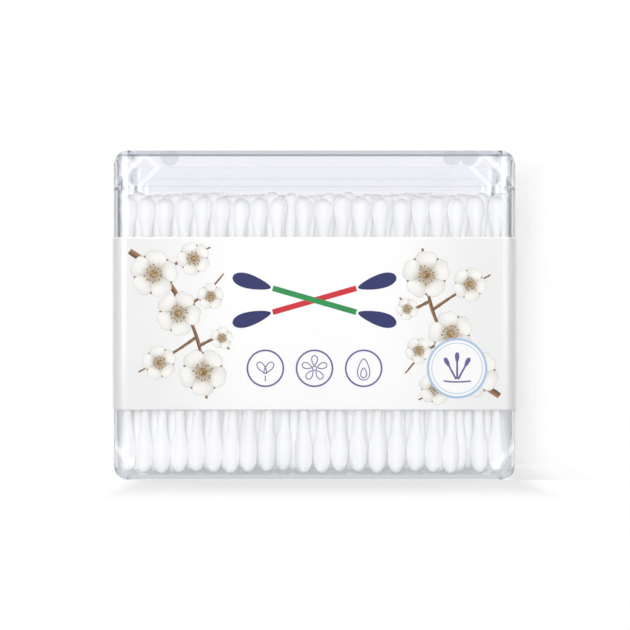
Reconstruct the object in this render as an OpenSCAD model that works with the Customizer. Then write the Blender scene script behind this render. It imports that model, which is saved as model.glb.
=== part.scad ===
// Clear hinged tub of two hundred cotton swabs, with a wrap-round label.
// Millimetres, +Z up, front face towards -Y, origin at the bottom centre of the closed pack.

/* [Box] */
// Height of the closed box
box_h = 87; // [84:1:100]
// Wall thickness of tub and lid
wall = 1; // [0.8:0.1:1.4]
// Thickness of the tub floor
floor_t = 1.2; // [0.8:0.1:2]
// Thickness of the lid roof
roof_t = 1; // [0.8:0.1:2]
// Radius of the upright edges, seen from above
plan_r = 4; // [3:0.5:5]
// Radius of the four corners, seen from the front
front_r = 4.1; // [3:0.1:5]

/* [Lid seam] */
// Height of the lid, from the seam to its top
lid_h = 9.5; // [8:0.5:14]
// Gap between the tub rim and the lid edge
seam_gap = 0.2; // [0.1:0.05:0.4]
// How far the collar stands above the rim
collar_h = 3; // [2:0.5:4]
// Wall thickness of the collar
collar_t = 0.8; // [0.6:0.1:1]
// Gap between the collar and the lid skirt
collar_gap = 0.35; // [0.3:0.05:0.5]
// Height of the ledge that carries the collar
ledge_h = 1; // [0.8:0.1:1.4]

/* [Corner ribs] */
// Distance from a corner to the line of its diagonal rib, along either edge
rib_reach = 9.3; // [8:0.1:11]
// Width of a diagonal rib
rib_w = 1.4; // [1:0.1:2]
// How far a rib stands off the inner face
rib_rise = 0.35; // [0.2:0.05:0.4]
// Distance of a round ejector mark from both edges of its corner
mark_in = 7.3; // [6.5:0.1:9]
// Radius of an ejector mark
mark_r = 1.7; // [1:0.1:2]
// Depth of an ejector mark
mark_depth = 0.3; // [0.1:0.05:0.4]

/* [Hinge] */
// Distance of each hinge from the middle of the box
hinge_x = 30; // [16:1:38]
// Outer radius of a hinge knuckle
knuckle_r = 1.3; // [1.2:0.1:1.6]
// Length of the lid knuckle
arm_len = 8; // [6:0.5:12]
// Length of each tub knuckle
ear_len = 4; // [3:0.5:6]
// Radius of the studs moulded on the lid knuckle
stud_r = 0.5; // [0.4:0.05:0.7]
// Length of a stud
stud_len = 3; // [2:0.25:3]
// Radial clearance of a stud in its hole
stud_fit = 0.05; // [0.03:0.01:0.1]
// End gap between two knuckles
knuckle_gap = 0.3; // [0.2:0.05:0.5]
// Gap between a knuckle and the back face of the box
barrel_gap = 0.2; // [0.2:0.05:0.5]
// Thickness of the webs that carry the knuckles
web_t = 1; // [0.8:0.1:1.1]

/* [Swabs] */
// Length of a swab from tip to tip
swab_len = 73.5; // [68:0.5:74.5]
// Largest diameter of a cotton head
head_d = 4.5; // [3.8:0.1:4.6]
// Length of a cotton head along the stick
head_len = 13.5; // [12:0.5:18]
// Distance from the tip of a head to its widest place
nose_len = 5; // [3:0.1:5]
// Diameter of the stick
stick_d = 2.4; // [1.8:0.1:2.6]
// Thickness of the cotton where it ends on the stick
skirt_t = 0.15; // [0.1:0.05:0.3]
// Solid cotton between the tip and the end of the stick
tip_t = 3; // [2:0.5:4]
// Radial clearance of the stick in the cotton
stick_fit = 0.05; // [0.02:0.01:0.1]
// Swabs in one row
per_row = 20; // [16:1:24]
// Distance between neighbours in a row
swab_pitch = 5.12; // [5.05:0.01:5.6]
// Distance between the front row and the second row
front_pitch = 4.65; // [4.65:0.05:5.2]
// Distance between the other rows
row_pitch = 4.1; // [4:0.05:4.6]
// Free space between an end swab and the side wall
side_gap = 0.33; // [0.3:0.01:1]
// Free space between the outer rows and the front and back walls
face_gap = 0.525; // [0.5:0.025:1]
// Free space under the lowest swab
foot_gap = 0.1; // [0.05:0.05:0.3]
// Largest height by which one swab stands above another
lift = 0.6; // [0:0.1:0.8]
// How far the swabs behind the front row lean to the left at their feet
lean = 2; // [0:0.25:2]

/* [Label] */
// Height of the lower edge of the label
label_z = 18.4; // [12:0.2:24]
// Height of the label band
label_h = 45.7; // [36:0.1:50]
// Thickness of the label
label_t = 0.15; // [0.1:0.05:0.3]
// Gap between the label and the box
label_gap = 0.1; // [0.05:0.05:0.2]
// Width of the glued overlap at the back
overlap_w = 9; // [5:1:20]
// Thickness of the printed fields
print_t = 0.05; // [0.03:0.01:0.1]

/* [Print] */
// Radius of the round badge
badge_r = 8; // [6:0.5:9]
// Distance of the badge to the right of the middle
badge_x = 37.7; // [34:0.1:42]
// Height of the badge above the lower edge of the label
badge_z = 11; // [10:0.5:16]
// Width of the ring round the badge
badge_ring = 0.6; // [0.3:0.1:1]
// Length of a swab in the middle emblem
emblem_len = 40; // [30:1:44]
// Slope of the emblem swabs
emblem_tilt = 16; // [10:1:24]
// Thickness of the emblem sticks
emblem_w = 1.6; // [1:0.1:2]
// Radius of the emblem heads
emblem_r = 2.4; // [2:0.1:3]
// Length of the emblem heads
emblem_head = 8; // [6:0.5:10]
// Height of the emblem above the lower edge of the label
emblem_z = 29; // [26:0.5:32]
// Radius of the three round marks under the emblem
ring_r = 5; // [4:0.5:5]
// Line width of the round marks
ring_w = 0.5; // [0.3:0.1:0.8]
// Distance between the round marks
ring_pitch = 13; // [12:0.5:15]
// Height of the round marks above the lower edge of the label
ring_z = 11; // [9:0.5:14]
// Line width of the printed twigs
twig_w = 1.1; // [0.8:0.1:1.6]
// Size of the printed blossoms, as a multiple
blossom_scale = 1; // [0.8:0.05:1.1]

/* [Hidden] */

$fn = 64;
// Overlap that joins two solids of one piece
join = 0.3;
// A length past every wall, for cuts
past = 1;
rows = 10;

// The box is as wide and as deep as its swabs need
head_r = head_d / 2;
inner_w = 2 * side_gap + head_d + (per_row - 0.5) * swab_pitch;
inner_d = 2 * face_gap + head_d + front_pitch + (rows - 2) * row_pitch;
box_w = inner_w + 2 * wall;
box_d = inner_d + 2 * wall;
seam_z = box_h - lid_h;

// Hinge axis, before the whole pack is moved to its origin
hinge_y = box_d / 2 + barrel_gap + knuckle_r;
hinge_z = seam_z + seam_gap / 2;

// The bounding box runs from the print on the front to the hinge barrels at the back
front_out = box_d / 2 + label_gap + label_t + print_t;
back_out = hinge_y + knuckle_r;
shift_y = (front_out - back_out) / 2;

// Sideways shift of each front swab at its head and at its foot, as the photograph shows them
front_top = [0.3, 0, -0.3, -0.2, -0.3, -0.6, -0.5, -0.7, -0.7, 0.9,
    1.1, 1, 0.9, 0.9, 1.4, 1.2, 0.8, 0.6, 0.7, 1.2];
front_foot = [0, -0.5, -1, -1.5, -2, -2.5, -3, -3.5, -3.6, 1,
    0.7, 0.2, 0.1, 0, 0, -0.1, -0.4, -0.9, 1.6, 1.2];
// Turns of the lift pattern from swab to swab and from row to row, in degrees
lift_turn = 97;
lift_row_turn = 61;

// Bands along the nose and along the taper of a cotton head
nose_bands = 3;
taper_bands = 4;

// Blossoms of the left sprig: distance from the left edge, height over the label edge, radius, turn
blossoms = [[7, 36, 6.4, 10], [17.5, 40, 4.5, 40], [13.5, 25.5, 6, 66], [22, 30, 3.6, 20],
    [8.5, 12.5, 4.6, 30], [20, 10, 6.4, 54], [25, 19, 3, 12]];
// Twig points of the left sprig, as distance from the left edge and height over the label edge
twigs = [[[0.6, 42], [9, 36], [15, 27], [19, 17], [21, 3]],
    [[15, 27], [21, 31], [25.5, 36]],
    [[9, 36], [15, 40], [22, 43]],
    [[18, 19], [12, 15], [3, 10]],
    [[19, 17], [24, 19], [27, 16]]];
// The right sprig is the left one turned upside down
eye_share = 0.24;
petal_out = 0.55;
petal_share = 0.46;
petals = 5;

// Flat shapes
module rounded(w, h, r) {
    square([w - 2 * r, h], center = true);
    square([w, h - 2 * r], center = true);
    for (x = [-1, 1], y = [-1, 1])
        translate([x * (w / 2 - r), y * (h / 2 - r)]) circle(r);
}

module line2d(a, b, w) {
    run = b - a;
    translate(a) rotate(atan2(run[1], run[0])) {
        translate([0, -w / 2]) square([norm(run), w]);
        circle(w / 2);
        translate([norm(run), 0]) circle(w / 2);
    }
}

// Box form: an upright prism with round edges, cut to a front outline with round corners
module form(w, d, h, edge_r, corner_r) {
    intersection() {
        linear_extrude(h) rounded(w, d, edge_r);
        translate([0, d, h / 2]) rotate([90, 0, 0]) linear_extrude(2 * d) rounded(w, h, corner_r);
    }
}

module outer_form() {
    form(box_w, box_d, box_h, plan_r, front_r);
}

module cavity() {
    translate([0, 0, floor_t])
        form(inner_w, inner_d, box_h - floor_t - roof_t, plan_r - wall, front_r - wall);
}

// A slab over the whole plan between two heights
module slab(z0, z1) {
    translate([-box_w, -box_d, z0]) cube([2 * box_w, 2 * box_d, z1 - z0]);
}

// A ring that follows the plan, given by its two distances in from the outer face
module plan_ring(outer_in, inner_in, z0, z1) {
    translate([0, 0, z0]) linear_extrude(z1 - z0) difference() {
        rounded(box_w - 2 * outer_in, box_d - 2 * outer_in, plan_r - outer_in);
        rounded(box_w - 2 * inner_in, box_d - 2 * inner_in, plan_r - inner_in);
    }
}

// Diagonal ribs in two corners, on the front and back walls. Up is 1 for the lid, -1 for the tub
module corner_ribs(corner_z, up) {
    for (side = [-1, 1], face = [-1, 1])
        translate([side * (box_w / 2 - rib_reach / 2), face * (inner_d / 2 + (join - rib_rise) / 2),
                corner_z - up * rib_reach / 2])
            rotate([0, side * up * 45, 0])
                cube([2 * rib_reach, join + rib_rise, rib_w], center = true);
}

module ejector_marks(corner_z, up) {
    for (side = [-1, 1], face = [-1, 1])
        translate([side * (box_w / 2 - mark_in), face * inner_d / 2, corner_z - up * mark_in])
            rotate([90, 0, 0]) cylinder(r = mark_r, h = 2 * mark_depth, center = true);
}

// A round bar along X on the hinge axis
module barrel(x, length, r) {
    translate([x, hinge_y, hinge_z]) rotate([0, 90, 0]) cylinder(r = r, h = length, center = true);
}

// A web from the back wall to the hinge axis. Up is 1 above the axis, -1 below it
module hinge_web(x, length, up) {
    low = seam_gap;
    translate([x - length / 2, box_d / 2 - join, hinge_z + (up > 0 ? low : -low - web_t)])
        cube([length, hinge_y - box_d / 2 + join, web_t]);
}

module tub_solid() {
    difference() {
        union() {
            difference() {
                intersection() {
                    outer_form();
                    slab(-past, seam_z);
                }
                cavity();
            }
            intersection() {
                difference() {
                    corner_ribs(0, -1);
                    slab(label_z, box_h);
                }
                outer_form();
            }
            plan_ring(wall / 2, wall + collar_gap + collar_t, seam_z - ledge_h, seam_z);
            plan_ring(wall + collar_gap, wall + collar_gap + collar_t, seam_z - ledge_h,
                seam_z + collar_h);
            for (side = [-1, 1], end = [-1, 1]) {
                ear_x = side * hinge_x + end * (arm_len / 2 + knuckle_gap + ear_len / 2);
                barrel(ear_x, ear_len, knuckle_r);
                hinge_web(ear_x, ear_len, -1);
            }
        }
        ejector_marks(0, -1);
        for (side = [-1, 1]) barrel(side * hinge_x, arm_len + 4 * ear_len, stud_r + stud_fit);
    }
}

module lid_solid() {
    rib_low = seam_z + collar_h + collar_gap;
    difference() {
        union() {
            difference() {
                intersection() {
                    outer_form();
                    slab(seam_z + seam_gap, box_h + past);
                }
                cavity();
            }
            intersection() {
                corner_ribs(box_h, 1);
                slab(rib_low, box_h + past);
                outer_form();
            }
            for (side = [-1, 1]) {
                barrel(side * hinge_x, arm_len, knuckle_r);
                barrel(side * hinge_x, arm_len + 2 * (knuckle_gap + stud_len), stud_r);
                hinge_web(side * hinge_x, arm_len, 1);
            }
        }
        ejector_marks(box_h, 1);
    }
}

module label_solid() {
    out = label_gap + label_t;
    translate([0, 0, label_z]) linear_extrude(label_h) {
        difference() {
            rounded(box_w + 2 * out, box_d + 2 * out, plan_r + out);
            rounded(box_w + 2 * label_gap, box_d + 2 * label_gap, plan_r + label_gap);
        }
        translate([-overlap_w / 2, box_d / 2 + label_gap]) square([overlap_w, 2 * label_t]);
    }
}

// Stands a flat shape on the front of the label. Its X is the width, its Y the height over the label edge
module on_label() {
    translate([0, -box_d / 2 - label_gap - label_t, label_z]) rotate([90, 0, 0])
        linear_extrude(print_t) children();
}

// Draws a left sprig, and the right sprig as the same turned round the middle of the label
module both_sprigs() {
    for (side = [0, 1])
        translate([0, side * label_h]) rotate(side * 180)
            translate([-box_w / 2 + plan_r, 0]) children();
}

module twig_lines() {
    for (twig = twigs, i = [0 : len(twig) - 2]) line2d(twig[i], twig[i + 1], twig_w);
}

module blossom_petals() {
    for (b = blossoms) translate([b[0], b[1]]) rotate(b[3])
        for (k = [0 : petals - 1]) rotate(k * 360 / petals)
            translate([b[2] * blossom_scale * petal_out, 0])
                circle(b[2] * blossom_scale * petal_share);
}

module blossom_eyes() {
    for (b = blossoms) translate([b[0], b[1]]) circle(b[2] * blossom_scale * eye_share);
}

module emblem_swab() {
    line2d([-emblem_len / 2, 0], [emblem_len / 2, 0], emblem_w);
    for (end = [-1, 1])
        line2d([end * (emblem_len / 2 - emblem_head), 0], [end * emblem_len / 2, 0], 2 * emblem_r);
}

// Swab places
function back_x(i, offset) = -inner_w / 2 + side_gap + head_r + (i + offset / 2) * swab_pitch;
function back_shift(x) = -lean * (1 - pow(2 * x / inner_w, 2));
function row_y(row) = -inner_d / 2 + face_gap + head_r
    + (row == 1 ? 0 : front_pitch + (row - 2) * row_pitch);
function swab_lift(i, row) = lift * (1 + sin(i * lift_turn + row * lift_row_turn)) / 2;
function top_x(i, row) = row == 1 ? back_x(i, 0) + front_top[i % len(front_top)] : back_x(i, (row + 1) % 2);
function foot_x(i, row) = row == 1 ? back_x(i, 0) + front_foot[i % len(front_foot)]
    : top_x(i, row) + back_shift(top_x(i, row));

// Cotton outline: an elliptic nose, then a smooth taper down to the stick
end_r = stick_d / 2 + stick_fit + skirt_t;
nose_points = [for (k = [0 : nose_bands])
    [head_r * sin(90 * k / nose_bands), nose_len * (1 - cos(90 * k / nose_bands))]];
taper_points = [for (k = [1 : taper_bands])
    [end_r + (head_r - end_r) * (1 + cos(180 * k / taper_bands)) / 2,
        nose_len + (head_len - nose_len) * k / taper_bands]];
bore_r = stick_d / 2 + stick_fit;
head_outline = concat(nose_points, taper_points, [[bore_r, head_len], [bore_r, tip_t], [0, tip_t]]);

// Places one row of swabs along Z, with the foot tip of each at z = 0 of its own frame
module swab_row(row) {
    for (i = [0 : per_row - 1]) {
        span = swab_len - 2 * nose_len;
        turn = asin((top_x(i, row) - foot_x(i, row)) / span);
        translate([foot_x(i, row), row_y(row), floor_t + foot_gap + nose_len + swab_lift(i, row)])
            rotate([0, turn, 0]) translate([0, 0, -nose_len]) children();
    }
}

module cotton_head() {
    rotate_extrude() polygon(head_outline);
}

// Pieces
module placed() {
    translate([0, shift_y, 0]) children();
}

module tub() {
    color([0.9, 0.92, 0.95, 0.4]) placed() tub_solid();
}

module lid() {
    color([0.9, 0.92, 0.95, 0.4]) placed() lid_solid();
}

module label_band() {
    color("white") placed() label_solid();
}

module print_twigs() {
    color([0.45, 0.33, 0.22]) placed() on_label() difference() {
        both_sprigs() twig_lines();
        both_sprigs() blossom_petals();
        both_sprigs() blossom_eyes();
        badge_disc(badge_r);
    }
}

module print_blossoms() {
    color([0.87, 0.85, 0.81]) placed() on_label() difference() {
        both_sprigs() blossom_petals();
        both_sprigs() blossom_eyes();
        badge_disc(badge_r);
    }
}

module print_blossom_eyes() {
    color([0.62, 0.52, 0.38]) placed() on_label() difference() {
        both_sprigs() blossom_eyes();
        badge_disc(badge_r);
    }
}

module print_emblem() {
    color([0.13, 0.16, 0.36]) placed() on_label() translate([0, emblem_z]) {
        rotate(emblem_tilt) emblem_swab();
        rotate(-emblem_tilt) emblem_swab();
    }
}

module print_marks() {
    color([0.5, 0.46, 0.66]) placed() on_label()
        for (k = [-1 : 1]) translate([k * ring_pitch, ring_z]) difference() {
            circle(ring_r);
            circle(ring_r - ring_w);
        }
}

module badge_disc(r) {
    translate([badge_x, badge_z]) circle(r);
}

module print_badge() {
    color([0.62, 0.74, 0.86]) placed() on_label() difference() {
        badge_disc(badge_r);
        badge_disc(badge_r - badge_ring);
    }
}

module stick_row(row) {
    color("white") placed() swab_row(row) translate([0, 0, tip_t + stick_fit])
        cylinder(d = stick_d, h = swab_len - 2 * (tip_t + stick_fit));
}

module cotton_foot(row) {
    color([0.97, 0.97, 0.97]) placed() swab_row(row) cotton_head();
}

module cotton_top(row) {
    color([0.97, 0.97, 0.97]) placed() swab_row(row)
        translate([0, 0, swab_len]) mirror([0, 0, 1]) cotton_head();
}

tub();
lid();
label_band();
print_twigs();
print_blossoms();
print_blossom_eyes();
print_emblem();
print_marks();
print_badge();
stick_row(1);  // stick_row_01
stick_row(2);  // stick_row_02
stick_row(3);  // stick_row_03
stick_row(4);  // stick_row_04
stick_row(5);  // stick_row_05
stick_row(6);  // stick_row_06
stick_row(7);  // stick_row_07
stick_row(8);  // stick_row_08
stick_row(9);  // stick_row_09
stick_row(10);  // stick_row_10
cotton_top(1);  // cotton_top_01
cotton_top(2);  // cotton_top_02
cotton_top(3);  // cotton_top_03
cotton_top(4);  // cotton_top_04
cotton_top(5);  // cotton_top_05
cotton_top(6);  // cotton_top_06
cotton_top(7);  // cotton_top_07
cotton_top(8);  // cotton_top_08
cotton_top(9);  // cotton_top_09
cotton_top(10);  // cotton_top_10
cotton_foot(1);  // cotton_foot_01
cotton_foot(2);  // cotton_foot_02
cotton_foot(3);  // cotton_foot_03
cotton_foot(4);  // cotton_foot_04
cotton_foot(5);  // cotton_foot_05
cotton_foot(6);  // cotton_foot_06
cotton_foot(7);  // cotton_foot_07
cotton_foot(8);  // cotton_foot_08
cotton_foot(9);  // cotton_foot_09
cotton_foot(10);  // cotton_foot_10
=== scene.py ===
"""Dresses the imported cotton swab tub: clear plastic, wound cotton, sticks, paper label and its print."""

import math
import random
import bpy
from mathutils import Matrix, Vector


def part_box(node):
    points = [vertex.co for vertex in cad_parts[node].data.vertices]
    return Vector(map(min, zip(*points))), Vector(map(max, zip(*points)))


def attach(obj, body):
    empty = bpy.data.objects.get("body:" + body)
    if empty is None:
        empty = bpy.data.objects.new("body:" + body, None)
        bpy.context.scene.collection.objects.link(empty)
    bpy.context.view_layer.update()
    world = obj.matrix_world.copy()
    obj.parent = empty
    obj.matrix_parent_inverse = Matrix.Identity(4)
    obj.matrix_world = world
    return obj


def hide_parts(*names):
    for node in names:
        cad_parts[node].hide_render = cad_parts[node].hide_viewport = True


bl_info = {
    "name": "Cotton Swab Tub",
    "version": (1, 0, 0),
    "blender": (4, 5, 0),
    "location": "3D View > Sidebar > Swab Tub",
    "description": "Finishes a clear flip-lid tub of cotton swabs with its paper label",
    "category": "Object",
}

import bmesh
import bpy
import numpy as np
from bpy.props import FloatProperty, FloatVectorProperty, IntProperty, PointerProperty
from mathutils import Vector

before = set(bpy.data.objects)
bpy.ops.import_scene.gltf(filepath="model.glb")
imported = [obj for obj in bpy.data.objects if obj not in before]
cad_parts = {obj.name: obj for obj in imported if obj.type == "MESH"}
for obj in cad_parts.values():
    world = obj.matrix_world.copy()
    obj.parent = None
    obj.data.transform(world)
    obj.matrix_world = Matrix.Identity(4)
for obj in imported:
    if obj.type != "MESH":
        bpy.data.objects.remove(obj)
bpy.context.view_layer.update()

MM = 0.001
WHITE, BLACK = (1.0, 1.0, 1.0), (0.0, 0.0, 0.0)
# Outside of the box in metres: half its width, its height, and the depth of its middle
BOX_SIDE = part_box("tub")[1].x
BOX_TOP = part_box("lid")[1].z
BOX_MIDDLE = -1.25 * MM

# Camera: place in metres, lens and sensor width in mm
CAMERA_PLACE = (0.00013, -0.50375, 0.0435)
LENS, SENSOR = 103.7, 36
# Lamps: name, place and size in metres, power in watts, and whether flat plastic mirrors them
LAMPS = (
    ("front_lamp", (-0.03, -1.05, 0.08), (0.25, 0.25), 5.8, False),
    ("key_box", (-0.6, -0.82, 0.07), (0.85, 0.3), 2.5, True),
    ("fill_box", (0.6, -0.82, 0.07), (0.85, 0.3), 1.7, True),
    ("rear_lamp_left", (-0.7, 0.65, 0.4), (0.5, 0.4), 4.0, False),
    ("rear_lamp_right", (0.7, 0.65, 0.4), (0.5, 0.4), 4.0, False),
)
LAMP_AIM = Vector((0, 0, 0.04))
# Strength of the white world where it lights the object. It is 1 where it is seen.
WORLD_LIGHT = 0.25
# Zones of the floor in mm. A pair is where a soft edge starts and ends.
FLOOR_LEFT, FLOOR_RIGHT, FLOOR_FORWARD = (-53, -42), (50, 62), (-85, -30)
BOX_FRONT, SHADOW_ACROSS, SHADOW_BEHIND = (-25, -23), ((51, 53), (54, 69)), (26, 60)
RIGHT_CLEAR = (66, 74)
# How white the floor glows in front of the box and behind it, and what it loses in the shadow there
GLOW_FRONT, GLOW_BEHIND, GLOW_LOST = 0.66, 0.96, 0.32
# Veil of painted shadow in mm, a thin card at the right of the box: where it fades to the right and upwards,
# then its depth, sides and top
VEIL_FADE_RIGHT, VEIL_FADE_UP = (56, 72), (78, 93)
VEIL_DEPTH, VEIL_LEFT, VEIL_RIGHT, VEIL_TOP = 26, 56, 73, 94
# How clear the veil is where it is densest
VEIL_CLEAR = 0.46
# Flags in metres: distance from the middle, height, and the depths between which each stands
FLAG_SIDE, FLAG_TOP = 0.2, 0.12
FLAGS = (("near", -0.15, 0.05), ("far", 0.25, 0.62))
# Floor in metres: half its width, and its place just under the tub
FLOOR_HALF, FLOOR_Z = 2, -0.1 * MM

# Zones of the plastic in mm, with painted shade in the upright corners and along the roof edge. A pair is
# where a soft edge starts and ends.
BACK_WALL, HAZE_RISE = ((17, 19), (21.35, 21.6)), (79.5, 81.5)
CORNER_SHADE_DEPTH, CORNER_SHADE_SIDE = (16, 18), (50.6, 51.8)
ROOF_EDGE_SHADE, FRONT_WALL, SIDE_WALL = ((85.4, 85.6), (86.0, 86.1)), (22.0, 22.2), (52.0, 52.2)
# Diagonal ribs in mm, which glow as a painted highlight: reach along both edges of a corner, half width, and
# distance from the middle
RIB_REACH, RIB_EDGE, RIB_DEPTH = 9.3, (0.85, 1.05), ((20.2, 20.4), (21.8, 22))
# Pin marks in mm: places across, height, radius, and how far back they may show
PIN_PLACES, PIN_HEIGHT, PIN_EDGE, PIN_DEPTH = (-38.3, 36.4, 41.0), 85.4, (2.3, 2.5), (-20, -19)

ROWS = 10
STICK_RADIUS = 1.2 * MM
# A wider gap than this parts two sticks of a row
STICK_GAP = 0.8 * MM
# Cotton past the end of its stick
TIP_COTTON = 3.05 * MM
# How much higher the cotton stands on the tops behind the front row
BACK_ROWS_RISE = 1.3 * MM
# How far a top may stand lower than its row
TOP_DROP = 0.5 * MM
# Brings the sum of the waves that lump a cotton head to about 1
LUMP_SUM = 2.4
# Outlines of a cotton head: share of its half width, share of its length from the tip
TOP_SHAPE = (
    (0.0, 0.0), (0.36, 0.01), (0.62, 0.034), (0.84, 0.078), (0.95, 0.13), (1.0, 0.2), (0.985, 0.27),
    (0.91, 0.35), (0.8, 0.43), (0.7, 0.52), (0.62, 0.62), (0.57, 0.74), (0.55, 0.87), (0.54, 1.0),
)
FOOT_SHAPE = (
    (0.0, 0.0), (0.3, 0.012), (0.53, 0.04), (0.74, 0.09), (0.88, 0.16), (0.965, 0.25), (1.0, 0.37),
    (0.975, 0.46), (0.9, 0.54), (0.79, 0.63), (0.69, 0.72), (0.61, 0.82), (0.56, 0.92), (0.54, 1.0),
)
# Blossoms of the left sprig in mm: distance from its edge, height over the label edge, radius, turn
BLOSSOMS = (
    (7, 36, 6.4, 10), (17.5, 40, 4.5, 40), (13.5, 25.5, 6, 66), (22, 30, 3.6, 20),
    (8.5, 12.5, 4.6, 30), (20, 10, 6.4, 54), (25, 19, 3, 12),
)
# Twig points of the left sprig in mm, as distance from its edge and height over the label edge
TWIGS = (
    ((0.6, 42), (9, 36), (15, 27), (19, 17), (21, 3)),
    ((15, 27), (21, 31), (25.5, 36)),
    ((9, 36), (15, 40), (22, 43)),
    ((18, 19), (12, 15), (3, 10)),
    ((19, 17), (24, 19), (27, 16)),
)
PETALS = 5
# Threads round the eye of a blossom
THREADS = 15
# Widths of the twigs in mm where they start
MAIN_TWIG, SIDE_TWIG = 1.5, 0.9
# Width of the thin lines in the rings in mm
THIN_LINE = 0.26
# Heights of the print layers over the paper in mm, inside the print's own thickness
TWIG_LAYER, SEPAL_LAYER, PETAL_LAYER, PETAL_STEP = 0.01, 0.018, 0.022, 0.003
EYE_LAYER, THREAD_LAYER, BADGE_LAYER, BADGE_INK_LAYER = 0.037, 0.039, 0.043, 0.048
EMBLEM_LAYER, EMBLEM_STEP, HEAD_LAYER, MARK_LAYER, MARK_STEP = 0.016, 0.006, 0.03, 0.02, 0.004
LAYER_STEP = 0.001

# Label in mm: thickness of its paper, radius of its corners, half width of its glued overlap
SHEET, LABEL_CORNER, LAP_HALF = 0.15, 4.25, 4.5
# Section of the overlap: share of its half width, share of the paper's thickness from the outside
LAP = ((-1, 1), (1, 1), (1, 0.12), (0.6, 0), (-0.6, 0), (-1, 0.12))
# Zones of the label in mm: printed grey outwards from the middle and behind, a painted highlight on the top
# edge, painted shade on the foot edge
GREY_SIDE, GREY_BEHIND, TOP_EDGE_HIGHLIGHT, FOOT_EDGE_SHADE = (16, 47), (-20, -19), (63.75, 63.8), (18.6, 18.65)


class Wire:
    """A node's output. Arithmetic on wires adds Math nodes to the same material."""

    def __init__(self, finish, socket):
        self.finish = finish
        self.socket = socket

    def _math(self, operation, first, second=0.0):
        settings = {"operation": operation}
        return self.finish.node("ShaderNodeMath", settings, {0: first, 1: second})

    def __add__(self, other):
        return self._math("ADD", self, other)

    __radd__ = __add__

    def __sub__(self, other):
        return self._math("SUBTRACT", self, other)

    def __rsub__(self, other):
        return self._math("SUBTRACT", other, self)

    def __mul__(self, other):
        return self._math("MULTIPLY", self, other)

    __rmul__ = __mul__

    def __abs__(self):
        return self._math("ABSOLUTE", self)

    def over(self, *others):
        """The largest of these."""
        most = self
        for other in others:
            most = self._math("MAXIMUM", most, other)
        return most


class Finish:
    """The node tree of a material or a world, which is built up from calls."""

    def __init__(self, holder, output):
        holder.use_nodes = True
        self.holder = holder
        self.tree = holder.node_tree
        self.tree.nodes.clear()
        self.end = self.tree.nodes.new(output)

    def node(self, kind, settings=None, sockets=None, out=0):
        """Adds a node, makes its settings, feeds its sockets and gives one of its outputs."""
        made = self.tree.nodes.new(kind)
        for key, value in (settings or {}).items():
            setattr(made, key, value)
        for key, value in (sockets or {}).items():
            self.feed(made.inputs[key], value)
        return Wire(self, made.outputs[out])

    def feed(self, socket, value):
        if isinstance(value, Wire):
            self.tree.links.new(value.socket, socket)
        elif socket.type == "RGBA" and len(value) == 3:
            socket.default_value = (*value, 1.0)
        else:
            socket.default_value = value

    def mix(self, share, low, high):
        """A colour between two colours."""
        settings = {"data_type": "RGBA", "clamp_factor": True}
        return self.node("ShaderNodeMix", settings, {0: share, 6: low, 7: high}, 2)

    def place(self):
        """The point on the object, in metres."""
        return self.node("ShaderNodeTexCoord", None, None, "Object")

    def kept(self, name, out="Fac"):
        """A value that the mesh keeps for each of its points."""
        return self.node("ShaderNodeAttribute", {"attribute_name": name}, None, out)

    def stretched(self, place, factors):
        """The same point with each axis scaled."""
        settings = {"operation": "MULTIPLY"}
        return self.node("ShaderNodeVectorMath", settings, {0: place, 1: factors})

    def axes(self, vector):
        """The three axes of a vector."""
        split = self.node("ShaderNodeSeparateXYZ", None, {0: vector}).socket.node
        return [Wire(self, socket) for socket in split.outputs]

    def noise(self, place, size, detail=3.0, roughness=0.55):
        """Soft noise from 0 to 1 with features about as large as size."""
        sockets = {"Vector": place, "Scale": 1 / size, "Detail": detail, "Roughness": roughness}
        return self.node("ShaderNodeTexNoise", None, sockets)

    def ramp(self, value, low, high, to_low=0.0, to_high=1.0):
        """Maps low to high onto another range, smoothly and within its ends."""
        settings = {"interpolation_type": "SMOOTHSTEP"}
        sockets = {"Value": value, 1: low, 2: high, 3: to_low, 4: to_high}
        return self.node("ShaderNodeMapRange", settings, sockets)

    def past(self, length, start, end, to_low=0.0, to_high=1.0):
        """Rises from 0 to 1 where a length in metres passes from start to end, in mm."""
        return self.ramp(length, start * MM, end * MM, to_low, to_high)

    def short_of(self, length, start, end):
        """Falls from 1 to 0 there."""
        return self.past(length, start, end, 1.0, 0.0)

    def within(self, length, rise, fall):
        """1 between the two soft edges."""
        return self.past(length, *rise) * self.short_of(length, *fall)

    def bump(self, height, depth, strength=1.0):
        """A normal from a height field. Depth is in metres."""
        sockets = {"Height": height, "Distance": depth, "Strength": strength}
        return self.node("ShaderNodeBump", None, sockets)

    def coated(self, sockets):
        """A Principled surface."""
        return self.node("ShaderNodeBsdfPrincipled", None, sockets)

    def rays(self, *kinds):
        """Facts about the present ray, by the names of their outputs."""
        return [self.node("ShaderNodeLightPath", None, None, kind) for kind in kinds]

    def seen_way(self):
        """1 for camera, mirror and see-through rays, 0 for the rays that light things."""
        camera, mirror, through, lights = self.rays(
            "Is Camera Ray", "Is Glossy Ray", "Is Transmission Ray", "Diffuse Depth"
        )
        return camera.over(mirror, through) * self.ramp(lights, 0.0, 1.0, 1.0, 0.0)

    def show(self, shader):
        """Ends the tree in a shader and gives the material or world."""
        self.tree.links.new(shader.socket, self.end.inputs["Surface"])
        return self.holder

    def show_mix(self, share, low, high):
        """Shows one shader where the share is 0 and the other where it is 1."""
        return self.show(self.node("ShaderNodeMixShader", None, {0: share, 1: low, 2: high}))


def new_finish(name):
    return Finish(bpy.data.materials.new(name), "ShaderNodeOutputMaterial")


def look():
    return bpy.context.scene.swab_tub_look


def shade(colour, factor):
    return tuple(channel * factor for channel in colour)


def linear(*display):
    """A display colour as a linear colour, for channels from 11 to 255."""
    return tuple(((channel / 255 + 0.055) / 1.055) ** 2.4 for channel in display)


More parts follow.
